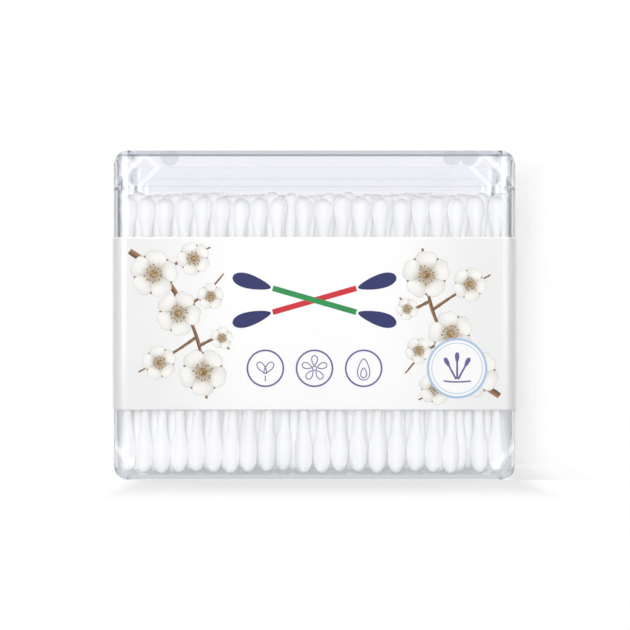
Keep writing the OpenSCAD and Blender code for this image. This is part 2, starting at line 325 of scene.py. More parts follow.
def box_mm(node):
    """Lowest and highest corner of a CAD node in mm."""
    return [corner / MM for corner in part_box(node)]


def toward(angle):
    """A step of length 1 at an angle."""
    return np.array([math.cos(angle), math.sin(angle)])


def turned(outline, centre, turn):
    """An outline turned about its own zero point, which then lies on the centre."""
    cos, sin = math.cos(turn), math.sin(turn)
    return [(centre[0] + a * cos - s * sin, centre[1] + a * sin + s * cos) for a, s in outline]


def square_to(steps):
    """Steps of length 1 to the left of a line's own steps."""
    return np.stack([-steps[:, 1], steps[:, 0]], 1) / np.linalg.norm(steps, axis=1)[:, None]


def add_piece(name, points, faces, material, sharp=None):
    """Links a new mesh object. Points are in metres. Edges past the sharp angle stay crisp."""
    mesh = bpy.data.meshes.new(name)
    mesh.from_pydata([tuple(p) for p in points], [], faces)
    shape = bmesh.new()
    shape.from_mesh(mesh)
    bmesh.ops.recalc_face_normals(shape, faces=shape.faces)
    shape.to_mesh(mesh)
    shape.free()
    mesh.materials.append(material)
    mesh.shade_smooth()
    if sharp is not None:
        mesh.set_sharp_from_angle(angle=math.radians(sharp))
    piece = bpy.data.objects.new(name, mesh)
    bpy.context.scene.collection.objects.link(piece)
    return piece


def settle(piece, slot, *nodes):
    """Puts a piece in the box, in the place of CAD nodes where some are named. The slot is not used."""
    if nodes:
        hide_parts(*nodes)
    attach(piece, "box")


def smooth_line(points, per_span):
    """A soft curve through the points, as an array of points."""
    points = np.array(points, float)
    ends = np.vstack([2 * points[0] - points[1], points, 2 * points[-1] - points[-2]])
    line = []
    for a, b, c, d in zip(ends, ends[1:], ends[2:], ends[3:]):
        for t in np.arange(per_span) / per_span:
            line.append(0.5 * (2 * b + (c - a) * t + (2 * a - 5 * b + 4 * c - d) * t ** 2
                + (3 * b - a - 3 * c + d) * t ** 3))
    return np.array(line + [points[-1]])


def colour_setting(name, description, default):
    """A colour that a user may change."""
    return FloatVectorProperty(
        name=name, description=description, subtype="COLOR", size=3, min=0, max=1, default=default,
    )


class SwabTubLook(bpy.types.PropertyGroup):
    """Sizes and colours that a user may change before the operators run."""

    plastic_tint: colour_setting(
        "Plastic tint",
        "Colour that a wall of the clear plastic lends to what is seen through it",
        (0.985, 0.985, 0.99),
    )
    plastic_haze: colour_setting(
        "Back wall tint",
        "Colour of the back wall and the roof, where the light crosses more plastic",
        (0.885, 0.89, 0.95),
    )
    # The depth colour is also painted as shade into the upright corners and as a dark line along the roof
    # edge
    plastic_depth_and_shade: colour_setting(
        "Plastic depth colour",
        "Colour that thick plastic tends to when it is seen edge on",
        (0.53, 0.57, 0.62),
    )
    plastic_density: FloatProperty(
        name="Plastic density",
        description="How fast light fades inside the plastic, per metre",
        min=0, max=400, default=20,
    )
    plastic_index: FloatProperty(
        name="Plastic index",
        description="Refractive index of the clear plastic",
        min=1.3, max=1.8, default=1.57,
    )
    plastic_roughness: FloatProperty(
        name="Plastic roughness",
        description="Micro roughness of the polished mould",
        subtype="FACTOR", min=0, max=0.3, default=0.02,
    )
    head_width: FloatProperty(
        name="Cotton width",
        description="Width of a wound cotton head at its thickest",
        subtype="DISTANCE", unit="LENGTH", min=0.004, max=0.005, default=0.0046,
    )
    head_length: FloatProperty(
        name="Cotton length",
        description="Length of a wound cotton head",
        subtype="DISTANCE", unit="LENGTH", min=0.012, max=0.018, default=0.0148,
    )
    fluff: FloatProperty(
        name="Fluff",
        description="Depth of the lumps in the cotton, as a share of its radius",
        subtype="FACTOR", min=0, max=0.2, default=0.02,
    )
    cotton_colour: colour_setting("Cotton colour", "Colour of bleached cotton", (0.943, 0.938, 0.937))
    stick_colour: colour_setting("Stick colour", "Colour of the sticks", (0.95, 0.95, 0.95))
    paper_colour: colour_setting(
        "Paper colour", "Colour of the coated label paper in the middle of its front", (0.95, 0.95, 0.95),
    )
    petal_colour: colour_setting("Petal colour", "Printed white of the blossoms", (0.9, 0.89, 0.86))
    petal_shadow: colour_setting(
        "Petal shadow", "Printed shadow in the throat of the blossoms", linear(176, 166, 148),
    )
    bark: colour_setting("Twig brown", "Printed brown of the twigs", linear(140, 104, 74))
    navy: colour_setting("Navy ink", "Dark ink of the emblem", linear(31, 38, 94))
    red: colour_setting("Red ink", "Ink of one stick in the emblem", linear(203, 38, 52))
    green: colour_setting("Green ink", "Ink of the other stick in the emblem", linear(38, 140, 72))
    violet: colour_setting(
        "Violet ink", "Ink of the thin rings and of the motif in the badge", linear(98, 86, 146),
    )
    sky: colour_setting("Pale blue ink", "Ink of the ring round the badge", linear(168, 194, 222))
    seed: IntProperty(
        name="Seed",
        description="Start value of the small random differences",
        min=0, max=9999, default=11,
    )


class SWABTUB_OT_stage(bpy.types.Operator):
    """Sets up the camera, the lamps, the white floor, the veil of soft shadow and the grey flags"""

    bl_idname = "swab_tub.stage"
    bl_label = "Stage"

    def camera(self, context):
        data = bpy.data.cameras.new("camera")
        data.sensor_width = SENSOR
        data.lens = LENS
        data.clip_start, data.clip_end = 0.01, 20
        camera = bpy.data.objects.new("camera", data)
        camera.location = CAMERA_PLACE
        camera.rotation_euler = (math.radians(90), 0, 0)
        context.scene.collection.objects.link(camera)
        context.scene.camera = camera

    def lamp(self, context, name, place, size, power, mirrored):
        """A soft box that looks at the tub. One that isn't mirrored leaves flat walls clear."""
        data = bpy.data.lights.new(name, "AREA")
        data.shape = "RECTANGLE"
        data.size, data.size_y = size
        data.energy = power
        lamp = bpy.data.objects.new(name, data)
        lamp.location = place
        lamp.rotation_euler = (LAMP_AIM - Vector(place)).to_track_quat("-Z", "Y").to_euler()
        lamp.visible_camera = False
        lamp.visible_glossy = lamp.visible_transmission = mirrored
        context.scene.collection.objects.link(lamp)

    def paper(self, finish, place):
        """Matt white that takes a soft shadow."""
        grain = finish.noise(place, 0.02)
        return finish.coated({"Base Color": (0.86, 0.86, 0.86), "Roughness": 0.85 + grain * 0.1})

    def card(self, name, corners, material):
        card = add_piece(name, corners, [(0, 1, 2, 3)], material)
        return card

    def upright(self, name, start, end, top, material):
        """A card that stands between two points of the floor and throws no shadow."""
        card = self.card(name, [(*start, 0), (*end, 0), (*end, top), (*start, top)], material)
        card.visible_diffuse = card.visible_shadow = False
        return card

    def floor(self):
        """White for the camera, and plain enough near the tub to keep its shadow."""
        finish = new_finish("white_floor")
        place = finish.place()
        x, y, _ = finish.axes(place)
        left = finish.short_of(x, *FLOOR_LEFT)
        away = left.over(finish.past(x, *FLOOR_RIGHT), finish.short_of(y, *FLOOR_FORWARD))
        front_share = finish.ramp(away, 0.0, 1.0, GLOW_FRONT, 1.0)
        shadow = finish.within(x, *SHADOW_ACROSS) * finish.short_of(y, *SHADOW_BEHIND)
        clear_side = left.over(finish.past(x, *RIGHT_CLEAR))
        behind_share = (GLOW_BEHIND - shadow * GLOW_LOST).over(clear_side)
        in_front = finish.short_of(y, *BOX_FRONT)
        share = finish.seen_way() * (in_front * front_share + (1.0 - in_front) * behind_share)
        glow = finish.node("ShaderNodeEmission", None, {"Color": WHITE, "Strength": 1.0})
        material = finish.show_mix(share, self.paper(finish, place), glow)
        ways = ((-1, -1), (1, -1), (1, 1), (-1, 1))
        corners = [(x * FLOOR_HALF, y * FLOOR_HALF, FLOOR_Z) for x, y in ways]
        self.card("floor", corners, material)

    def shadow_card(self):
        """Stands behind the right side as a thin veil of painted shadow, which also takes the tub's cast
        shadow, and fades out. It shows from the front only.
        """
        finish = new_finish("shadow_veil")
        place = finish.place()
        x, _, z = finish.axes(place)
        faded = finish.past(x, *VEIL_FADE_RIGHT).over(finish.past(z, *VEIL_FADE_UP))
        from_behind = finish.node("ShaderNodeNewGeometry", None, None, "Backfacing")
        share = finish.ramp(faded, 0.0, 1.0, VEIL_CLEAR, 1.0).over(from_behind)
        clear = finish.node("ShaderNodeBsdfTransparent")
        material = finish.show_mix(share, self.paper(finish, place), clear)
        start, end = ((across * MM, VEIL_DEPTH * MM) for across in (VEIL_LEFT, VEIL_RIGHT))
        self.upright("shadow_card", start, end, VEIL_TOP * MM, material)

    def flags(self):
        """Grey cards out of view that draw the dark lines along the edges of the plastic."""
        finish = new_finish("grey_flag")
        grey = {"Color": (0.88, 0.94, 1.0), "Strength": 0.33}
        material = finish.show(finish.node("ShaderNodeEmission", None, grey))
        for x, way in ((-FLAG_SIDE, "left"), (FLAG_SIDE, "right")):
            for name, near, far in FLAGS:
                flag = self.upright(f"flag_{name}_{way}", (x, near), (x, far), FLAG_TOP, material)
                flag.visible_camera = False

    def execute(self, context):
        self.camera(context)
        for lamp in LAMPS:
            self.lamp(context, *lamp)
        self.floor()
        self.shadow_card()
        self.flags()
        finish = Finish(bpy.data.worlds.new("studio"), "ShaderNodeOutputWorld")
        strength = finish.ramp(finish.seen_way(), 0.0, 1.0, WORLD_LIGHT, 1.0)
        white = finish.node("ShaderNodeBackground", None, {"Color": WHITE, "Strength": strength})
        context.scene.world = finish.show(white)
        context.scene.view_settings.view_transform = "Standard"
        return {"FINISHED"}


class SWABTUB_OT_clear_box(bpy.types.Operator):
    """Gives the tub and the lid their clear moulded plastic"""

    bl_idname = "swab_tub.clear_box"
    bl_label = "Clear Box"

    def pin_marks(self, finish, x, y, z):
        """Faint round marks of the mould's pins, high on the front of the lid."""
        up = z - PIN_HEIGHT * MM
        near, far = ((radius * MM) ** 2 for radius in PIN_EDGE)
        discs = []
        for middle in PIN_PLACES:
            aside = x - middle * MM
            discs.append(finish.ramp(aside * aside + up * up, near, far, 1.0, 0.0))
        return discs[0].over(*discs[1:]) * finish.past(y, *PIN_DEPTH, 0.6, 0.0)

    def tint(self, finish, settings, x, y, z):
        """What the plastic does to the colours behind it, with painted shade in its upright corners and a
        painted dark line along the roof edge.
        """
        side, depth = abs(x), abs(y - BOX_MIDDLE)
        back = finish.within(y, *BACK_WALL) * finish.past(z, *HAZE_RISE, 0.3, 1.0)
        colour = finish.mix(back, settings.plastic_tint, settings.plastic_haze)
        # Painted shade: the upright corners darken towards the depth colour
        corner = finish.past(depth, *CORNER_SHADE_DEPTH) * finish.past(side, *CORNER_SHADE_SIDE) * 0.45
        colour = finish.mix(corner, colour, settings.plastic_depth_and_shade)
        colour = finish.mix(self.pin_marks(finish, x, y, z), colour, (0.7, 0.74, 0.74))
        # Painted shade: a dark line round the outer faces along the roof edge
        outer = finish.past(abs(y), *FRONT_WALL).over(finish.past(side, *SIDE_WALL))
        line = finish.within(z, *ROOF_EDGE_SHADE) * outer
        return finish.mix(line, colour, shade(settings.plastic_depth_and_shade, 0.75))

    def ribs(self, finish, x, y, z):
        """The inner faces along the diagonal ribs, one in each corner of the front and of the back, which
        glow as a painted highlight.
        """
        to_side = BOX_SIDE - abs(x)
        low, high = (
            finish.short_of(abs(to_side + to_end - RIB_REACH * MM), *RIB_EDGE)
            for to_end in (z, BOX_TOP - z)
        )
        return low.over(high) * finish.within(abs(y - BOX_MIDDLE), *RIB_DEPTH)

    def execute(self, context):
        settings = look()
        finish = new_finish("clear_polystyrene")
        place = finish.place()
        x, y, z = finish.axes(place)
        flow = finish.noise(finish.stretched(place, (1, 1, 0.35)), 9 * MM, 2.0)
        mist = finish.noise(place, 0.5 * MM, 2.0)
        shell = finish.coated({
            "Base Color": self.tint(finish, settings, x, y, z),
            "Roughness": settings.plastic_roughness + finish.ramp(mist, 0.55, 0.8) * 0.01,
            "IOR": settings.plastic_index,
            "Transmission Weight": 1.0,
            # Painted highlight: the rib faces glow white
            "Emission Color": finish.mix(self.ribs(finish, x, y, z), BLACK, WHITE),
            "Emission Strength": 0.12,
            "Normal": finish.bump(flow, 0.003 * MM),
        })
        shadow, turns = finish.rays("Is Shadow Ray", "Glossy Depth")
        clear = finish.node("ShaderNodeBsdfTransparent", None, {"Color": settings.plastic_tint})
        material = finish.show_mix(shadow.over(finish.ramp(turns, 3.4, 3.6)), shell, clear)
        depth = finish.node("ShaderNodeVolumeAbsorption", None,
            {"Color": settings.plastic_depth_and_shade, "Density": settings.plastic_density})
        finish.tree.links.new(depth.socket, finish.end.inputs["Volume"])
        for node in ("tub", "lid"):
            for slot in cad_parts[node].material_slots:
                slot.material = material
        return {"FINISHED"}


def stick_ends(row):
    """The end centres of each stick of a CAD row, from left to right, as (foot, top) in metres."""
    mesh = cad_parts[f"stick_row_{row:02d}"].data
    points = np.array([v.co for v in mesh.vertices])
    middle = (points[:, 2].min() + points[:, 2].max()) / 2
    found = []
    for half in (points[points[:, 2] < middle], points[points[:, 2] > middle]):
        half = half[np.argsort(half[:, 0])]
        cuts = np.where(np.diff(half[:, 0]) > STICK_GAP)[0] + 1
        found.append([Vector((c.min(0) + c.max(0)) / 2) for c in np.split(half, cuts)])
    if len(found[0]) != len(found[1]):
        raise RuntimeError(f"row {row} has {len(found[0])} feet and {len(found[1])} tops")
    return list(zip(*found))


def across(axis):
    """Two directions square to an axis and to each other."""
    side = axis.cross(Vector((0, 1, 0))).normalized()
    return side, axis.cross(side)


def cotton_head(rng, outline, segments, tip, axis, fluff):
    """Points and faces of one wound head. Its axis runs from the tip down the stick."""
    side, front = across(axis)
    waves = [(rng.randint(2, 5), rng.uniform(0, 2 * math.pi), rng.uniform(-7, 7), rng.uniform(0.4, 1))
        for _ in range(5)]
    length = outline[-1][1]
    size = rng.uniform(0.99, 1.01)
    points, faces = [tip], []
    for radius, along in outline[1:]:
        for k in range(segments):
            angle = 2 * math.pi * k / segments
            lump = sum(a * math.sin(n * angle + p + twist * along / length)
                for n, p, twist, a in waves) / LUMP_SUM
            r = radius * size * (1 + fluff * lump)
            points.append(tip + axis * along + side * (r * math.cos(angle)) + front * (r * math.sin(angle)))
    rings = len(outline) - 1
    for k in range(segments):
        after = (k + 1) % segments
        faces.append((0, 1 + k, 1 + after))
        for ring in range(rings - 1):
            a = 1 + ring * segments
            faces.append((a + k, a + segments + k, a + segments + after, a + after))
    faces.append(tuple(1 + (rings - 1) * segments + k for k in range(segments)))
    return points, faces


def stick(foot, top, segments):
    """Points and faces of one round stick."""
    side, front = across((top - foot).normalized())
    points, faces = [], []
    for end in (foot, top):
        points += [end + (side * math.cos(a) + front * math.sin(a)) * STICK_RADIUS
            for a in (2 * math.pi * k / segments for k in range(segments))]
    for k in range(segments):
        after = (k + 1) % segments
        faces.append((k, segments + k, segments + after, after))
    faces += [tuple(range(segments)), tuple(range(segments, 2 * segments))]
    return points, faces


def joined(parts):
    """Points and faces of several shapes as one."""
    points, faces = [], []
    for some_points, some_faces in parts:
        start = len(points)
        points += some_points
        faces += [tuple(start + i for i in face) for face in some_faces]
    return points, faces


class SWABTUB_OT_swabs(bpy.types.Operator):
    """Builds every row of swabs, with wound cotton on both ends of each stick"""

    bl_idname = "swab_tub.swabs"
    bl_label = "Swabs"

    def cotton(self, settings):
        finish = new_finish("wound_cotton")
        place = finish.place()
        strands = finish.noise(finish.stretched(place, (1, 1, 0.22)), 0.55 * MM, 4.0, 0.6)
        fuzz = finish.noise(place, 0.16 * MM, 3.0, 0.7)
        lumps = finish.noise(place, 3.2 * MM, 2.0)
        height = strands * 0.7 + fuzz * 0.3
        tone = finish.ramp(strands * 0.6 + lumps * 0.4, 0.3, 0.62)
        _, _, z = finish.axes(place)
        glow_near_floor = finish.short_of(z, 2, 6)
        return finish.show(finish.coated({
            "Base Color": finish.mix(tone, shade(settings.cotton_colour, 0.96), settings.cotton_colour),
            "Roughness": 0.86 + fuzz * 0.14,
            "Specular IOR Level": 0.2,
            "Sheen Weight": 0.2,
            "Sheen Roughness": 0.5,
            # Painted light: the cotton glows faintly, and more near the floor, to lighten the shade between
            # the heads
            "Emission Color": finish.mix(glow_near_floor, (0.46, 0.485, 0.5), (0.64, 0.68, 0.71)),
            "Emission Strength": 0.25,
            "Normal": finish.bump(height, 0.1 * MM, 0.7),
        }))

    def sticks(self, settings):
        finish = new_finish("white_stick")
        grain = finish.noise(finish.stretched(finish.place(), (1, 1, 0.05)), 0.3 * MM)
        return finish.show(finish.coated({
            "Base Color": finish.mix(grain, shade(settings.stick_colour, 0.95), settings.stick_colour),
            "Roughness": 0.42 + grain * 0.15,
            # Painted light: the sticks glow faintly to lighten the shade between them
            "Emission Color": (0.95, 0.97, 1.0),
            "Emission Strength": 0.09,
            "Normal": finish.bump(grain, 0.02 * MM),
        }))

    def outline(self, settings, shape, per_span):
        """A head's outline in metres, as distance from its axis and distance from its tip."""
        return [
            (max(share, 0) * settings.head_width / 2, reach * settings.head_length)
            for share, reach in smooth_line(shape, per_span)
        ]

    def execute(self, context):
        settings = look()
        cotton, white = self.cotton(settings), self.sticks(settings)
        rng = random.Random(settings.seed)
        for row in range(1, ROWS + 1):
            shown = row in (1, 2, ROWS)
            per_span, segments = (2, 32) if shown else (1, 20)
            top_outline, foot_outline = (
                self.outline(settings, shape, per_span) for shape in (TOP_SHAPE, FOOT_SHAPE)
            )
            rise = 0 if row == 1 else BACK_ROWS_RISE
            tops, feet, sticks = [], [], []
            for foot, top in stick_ends(row):
                axis = (top - foot).normalized()
                sticks.append(stick(foot, top, 20))
                tip = foot - axis * TIP_COTTON
                feet.append(cotton_head(rng, foot_outline, segments, tip, axis, settings.fluff))
                tip = top + axis * (TIP_COTTON + rise - rng.uniform(0, TOP_DROP))
                tops.append(cotton_head(rng, top_outline, segments, tip, -axis, settings.fluff))
            for name, parts, material, slot in (
                ("stick_row", sticks, white, "white_stick"),
                ("cotton_top", tops, cotton, "cotton"),
                ("cotton_foot", feet, cotton, "cotton"),
            ):
                node = f"{name}_{row:02d}"
                settle(add_piece(f"{node}_dressed", *joined(parts), material, 50), slot, node)
        return {"FINISHED"}


def rounded_path(half_w, half_d, radius, per_corner=20, per_side=24):
    """Points round a rounded rectangle in mm, anticlockwise from above, starting at the front left."""
    arcs = []
    for side, face, start in ((-1, -1, 180), (1, -1, 270), (1, 1, 0), (-1, 1, 90)):
        centre = np.array([side * (half_w - radius), face * (half_d - radius)])
        angles = np.radians(start + 90 * np.arange(per_corner + 1) / per_corner)
        arcs.append([centre + radius * toward(angle) for angle in angles])
    path = []
    for arc, after in zip(arcs, arcs[1:] + arcs[:1]):
        path += arc + [arc[-1] + (after[0] - arc[-1]) * k / per_side for k in range(1, per_side)]
    return path


def sleeve(outer, inner, heights):
    """Points and faces of an upright wall between two closed paths. All in mm."""
    count, levels = len(outer), len(heights)
    points = [Vector((*p, z)) * MM for ring in (outer, inner) for z in heights for p in ring]
    faces = []

    def at(layer, level, k):
        return (layer * levels + level) * count + k % count

    for k in range(count):
        for layer in (0, 1):
            faces += [
                (at(layer, n, k), at(layer, n, k + 1), at(layer, n + 1, k + 1), at(layer, n + 1, k))
                for n in range(levels - 1)
            ]
        faces += [(at(0, n, k), at(0, n, k + 1), at(1, n, k + 1), at(1, n, k)) for n in (0, levels - 1)]
    return points, faces


def prism(section, low, high):
    """Points and faces of an upright bar. All in mm."""
    count = len(section)
    points = [Vector((*p, z)) * MM for z in (low, high) for p in section]
    faces = [(k, (k + 1) % count, count + (k + 1) % count, count + k) for k in range(count)]
    return points, faces + [tuple(range(count)), tuple(range(count, 2 * count))]


class SWABTUB_OT_label(bpy.types.Operator):
    """Wraps the coated paper label round the box, with its glued overlap at the back"""

    bl_idname = "swab_tub.label"
    bl_label = "Label"

    def paper(self, settings):
        """Coated paper, printed white in the middle of the front and pale grey at the sides, with a painted
        highlight on its top edge and painted shade on its foot edge.
        """
        finish = new_finish("coated_paper")
        place = finish.place()
        x, y, z = finish.axes(place)
        fibre = finish.noise(place, 0.25 * MM, 4.0, 0.6)
        wave = finish.noise(finish.stretched(place, (1, 1, 0.5)), 14 * MM, 2.0)
        colour = settings.paper_colour
        grey = finish.past(abs(x), *GREY_SIDE).over(finish.past(y, *GREY_BEHIND))
        ground = finish.mix(grey, colour, shade(colour, 0.87))
        # Painted highlight on the top edge, then painted shade on the foot edge
        ground = finish.mix(finish.past(z, *TOP_EDGE_HIGHLIGHT), ground, WHITE)
        ground = finish.mix(finish.short_of(z, *FOOT_EDGE_SHADE), ground, shade(colour, 0.7))
        return finish.show(finish.coated({
            "Base Color": finish.mix(fibre * 0.25, ground, shade(colour, 0.9)),
            "Roughness": 0.34 + fibre * 0.08,
            "Coat Weight": 0.8,
            "Coat Roughness": 0.12,
            "Normal": finish.bump(wave * 0.9 + fibre * 0.02, 0.06 * MM),
        }))

    def execute(self, context):
        low, high = box_mm("label_band")
        half_w = (high.x - low.x) / 2
        half_d = (high.y - SHEET - low.y) / 2
        middle = low.y + half_d
        outer, inner = (
            [(x, y + middle) for x, y in rounded_path(half_w - d, half_d - d, LABEL_CORNER - d)]
            for d in (0, SHEET)
        )
        lap = [(x * LAP_HALF, high.y - SHEET * y) for x, y in LAP]
        parts = [sleeve(outer, inner, np.linspace(low.z, high.z, 9)), prism(lap, low.z, high.z)]
        piece = add_piece("label_band_paper", *joined(parts), self.paper(look()), 40)
        settle(piece, "label_film", "label_band")
        return {"FINISHED"}


class Inlay:
    """Print shapes that gather in one mesh. Each is a thin closed plate on the front of the label."""

    def __init__(self):
        low, high = box_mm("label_band")
        self.paper = low.y
        self.left, self.bottom, self.top = low.x + LABEL_CORNER, low.z, high.z
        self.points, self.faces, self.rims, self.spots = [], [], [], []

    def spot(self, side, point):
        """A point of the left sprig, or of the right one, which is turned upside down, in mm."""
        x, z = self.left + point[0], self.bottom + point[1]
        return np.array((x, z) if side == 0 else (-x, self.bottom + self.top - z))

    def _gather(self, lines, pairs, steps, ends, spots):
        """Adds lines of points, each with its height over the paper and its rim, and joins pairs of them."""
        start, n = len(self.points), len(lines[0][0])
        for line, height, rim in lines:
            self.points += [Vector((p[0], self.paper - height, p[1])) * MM for p in line]
            self.rims += [rim] * n
        faces = []
        for a, b in pairs:
            a, b = a * n, b * n
            faces += [(a + k, a + (k + 1) % n, b + (k + 1) % n, b + k) for k in range(steps)]
        self.faces += [tuple(start + i for i in face) for face in faces + ends]
        self.spots += spots

    def plate(self, outline, layer, origin, turn, size, tone=0.0, rim=0.84):
        """A filled outline. Its spots run along and across from the origin, in units of size."""
        n = len(outline)
        outline = np.array(outline)
        inset = origin + (outline - origin) * rim
        if np.linalg.norm(outline - origin, axis=1).min() < 0.3 * size:
            middle = outline.mean(0)
            inset = middle + (outline - middle) * rim
        spots = [(p - origin) / size for p in (*outline, *inset, *outline)]
        spots = [(x, z, tone) for x, z in turned(spots, (0, 0), -turn)]
        lines = [(outline, layer, 0.0), (inset, layer, 1.0), (outline, 0, 0.0)]
        ends = [tuple(range(n, 2 * n)), tuple(range(2 * n, 3 * n))]
        self._gather(lines, ((0, 1), (0, 2)), n, ends, spots)

    def strip(self, line, widths, layer, tone=0.0):
        """A line of changing width. Its spots run along in mm and across from -1 to 1."""
        line = np.array(line)
        n = len(line)
        aside = square_to(np.gradient(line, axis=0)) * (np.array(widths)[:, None] / 2)
        left, right = line + aside, line - aside
        along = np.concatenate([[0], np.cumsum(np.linalg.norm(np.diff(line, axis=0), axis=1))])
        spots = [(t, side, tone) for side in (1, 0, -1, 1, -1) for t in along]
        raised = [(left, layer, 0.0), (line, layer, 1.0), (right, layer, 0.0)]
        ends = [(k, n + k, 2 * n + k, 4 * n + k, 3 * n + k) for k in (0, n - 1)]
        lines = [*raised, (left, 0, 0.0), (right, 0, 0.0)]
        self._gather(lines, ((0, 1), (1, 2), (3, 4), (0, 3), (2, 4)), n - 1, ends, spots)

    def band(self, outline, width, layer):
        """A closed line of even width that follows an outline. Its spots are its places in mm."""
        outline = np.array(outline)
        aside = square_to(np.roll(outline, -1, 0) - np.roll(outline, 1, 0)) * width / 2
        outer, inner = outline - aside, outline + aside
        spots = [(p[0], p[1], 0.0) for p in (*outer, *inner, *outer, *inner)]
        lines = [(line, height, 0.5) for height in (layer, 0) for line in (outer, inner)]
        self._gather(lines, ((0, 1), (2, 3), (0, 2), (1, 3)), len(outline), [], spots)

    def print_as(self, name, material, slot, *nodes):
        """Makes the piece, which keeps the rims and spots of its points for its material."""
        piece = add_piece(name, self.points, self.faces, material, 30)
        rims = piece.data.attributes.new("rim", "FLOAT", "POINT")
        rims.data.foreach_set("value", self.rims)
        spots = piece.data.attributes.new("spot", "FLOAT_VECTOR", "POINT")
        spots.data.foreach_set("vector", [v for spot in self.spots for v in spot])
        settle(piece, slot, *nodes)


def circle(centre, radius, count=40):
    """Points round a circle."""
    angles = np.linspace(0, 2 * math.pi, count, endpoint=False)
    return np.array(centre) + radius * np.stack([np.cos(angles), np.sin(angles)], 1)


def once_round(count):
    """Angles once round from the start of an outline, each with its share of the way to the far end."""
    return [(t, (1 - math.cos(t)) / 2) for t in np.linspace(0, 2 * math.pi, count, endpoint=False)]


def petal(centre, radius, turn, rng, count=36):
    """Outline of one petal, narrow at the heart of the blossom and notched at its tip."""
    outline = []
    wobble = [(n, rng.uniform(0, 2 * math.pi), rng.uniform(0.2, 1) * 0.012) for n in (3, 5, 8)]
    for t, rise in once_round(count):
        along = 0.06 + 0.94 * rise
        side = 0.56 * math.sin(t) * (0.42 + 0.58 * rise) ** 0.85
        along -= 0.07 * math.exp(-((side / 0.09) ** 2)) * (rise > 0.5)
        stretch = 1 + sum(a * math.sin(n * t + p) for n, p, a in wobble)
        outline.append((along * stretch * radius, side * stretch * radius))
    return turned(outline, centre, turn)


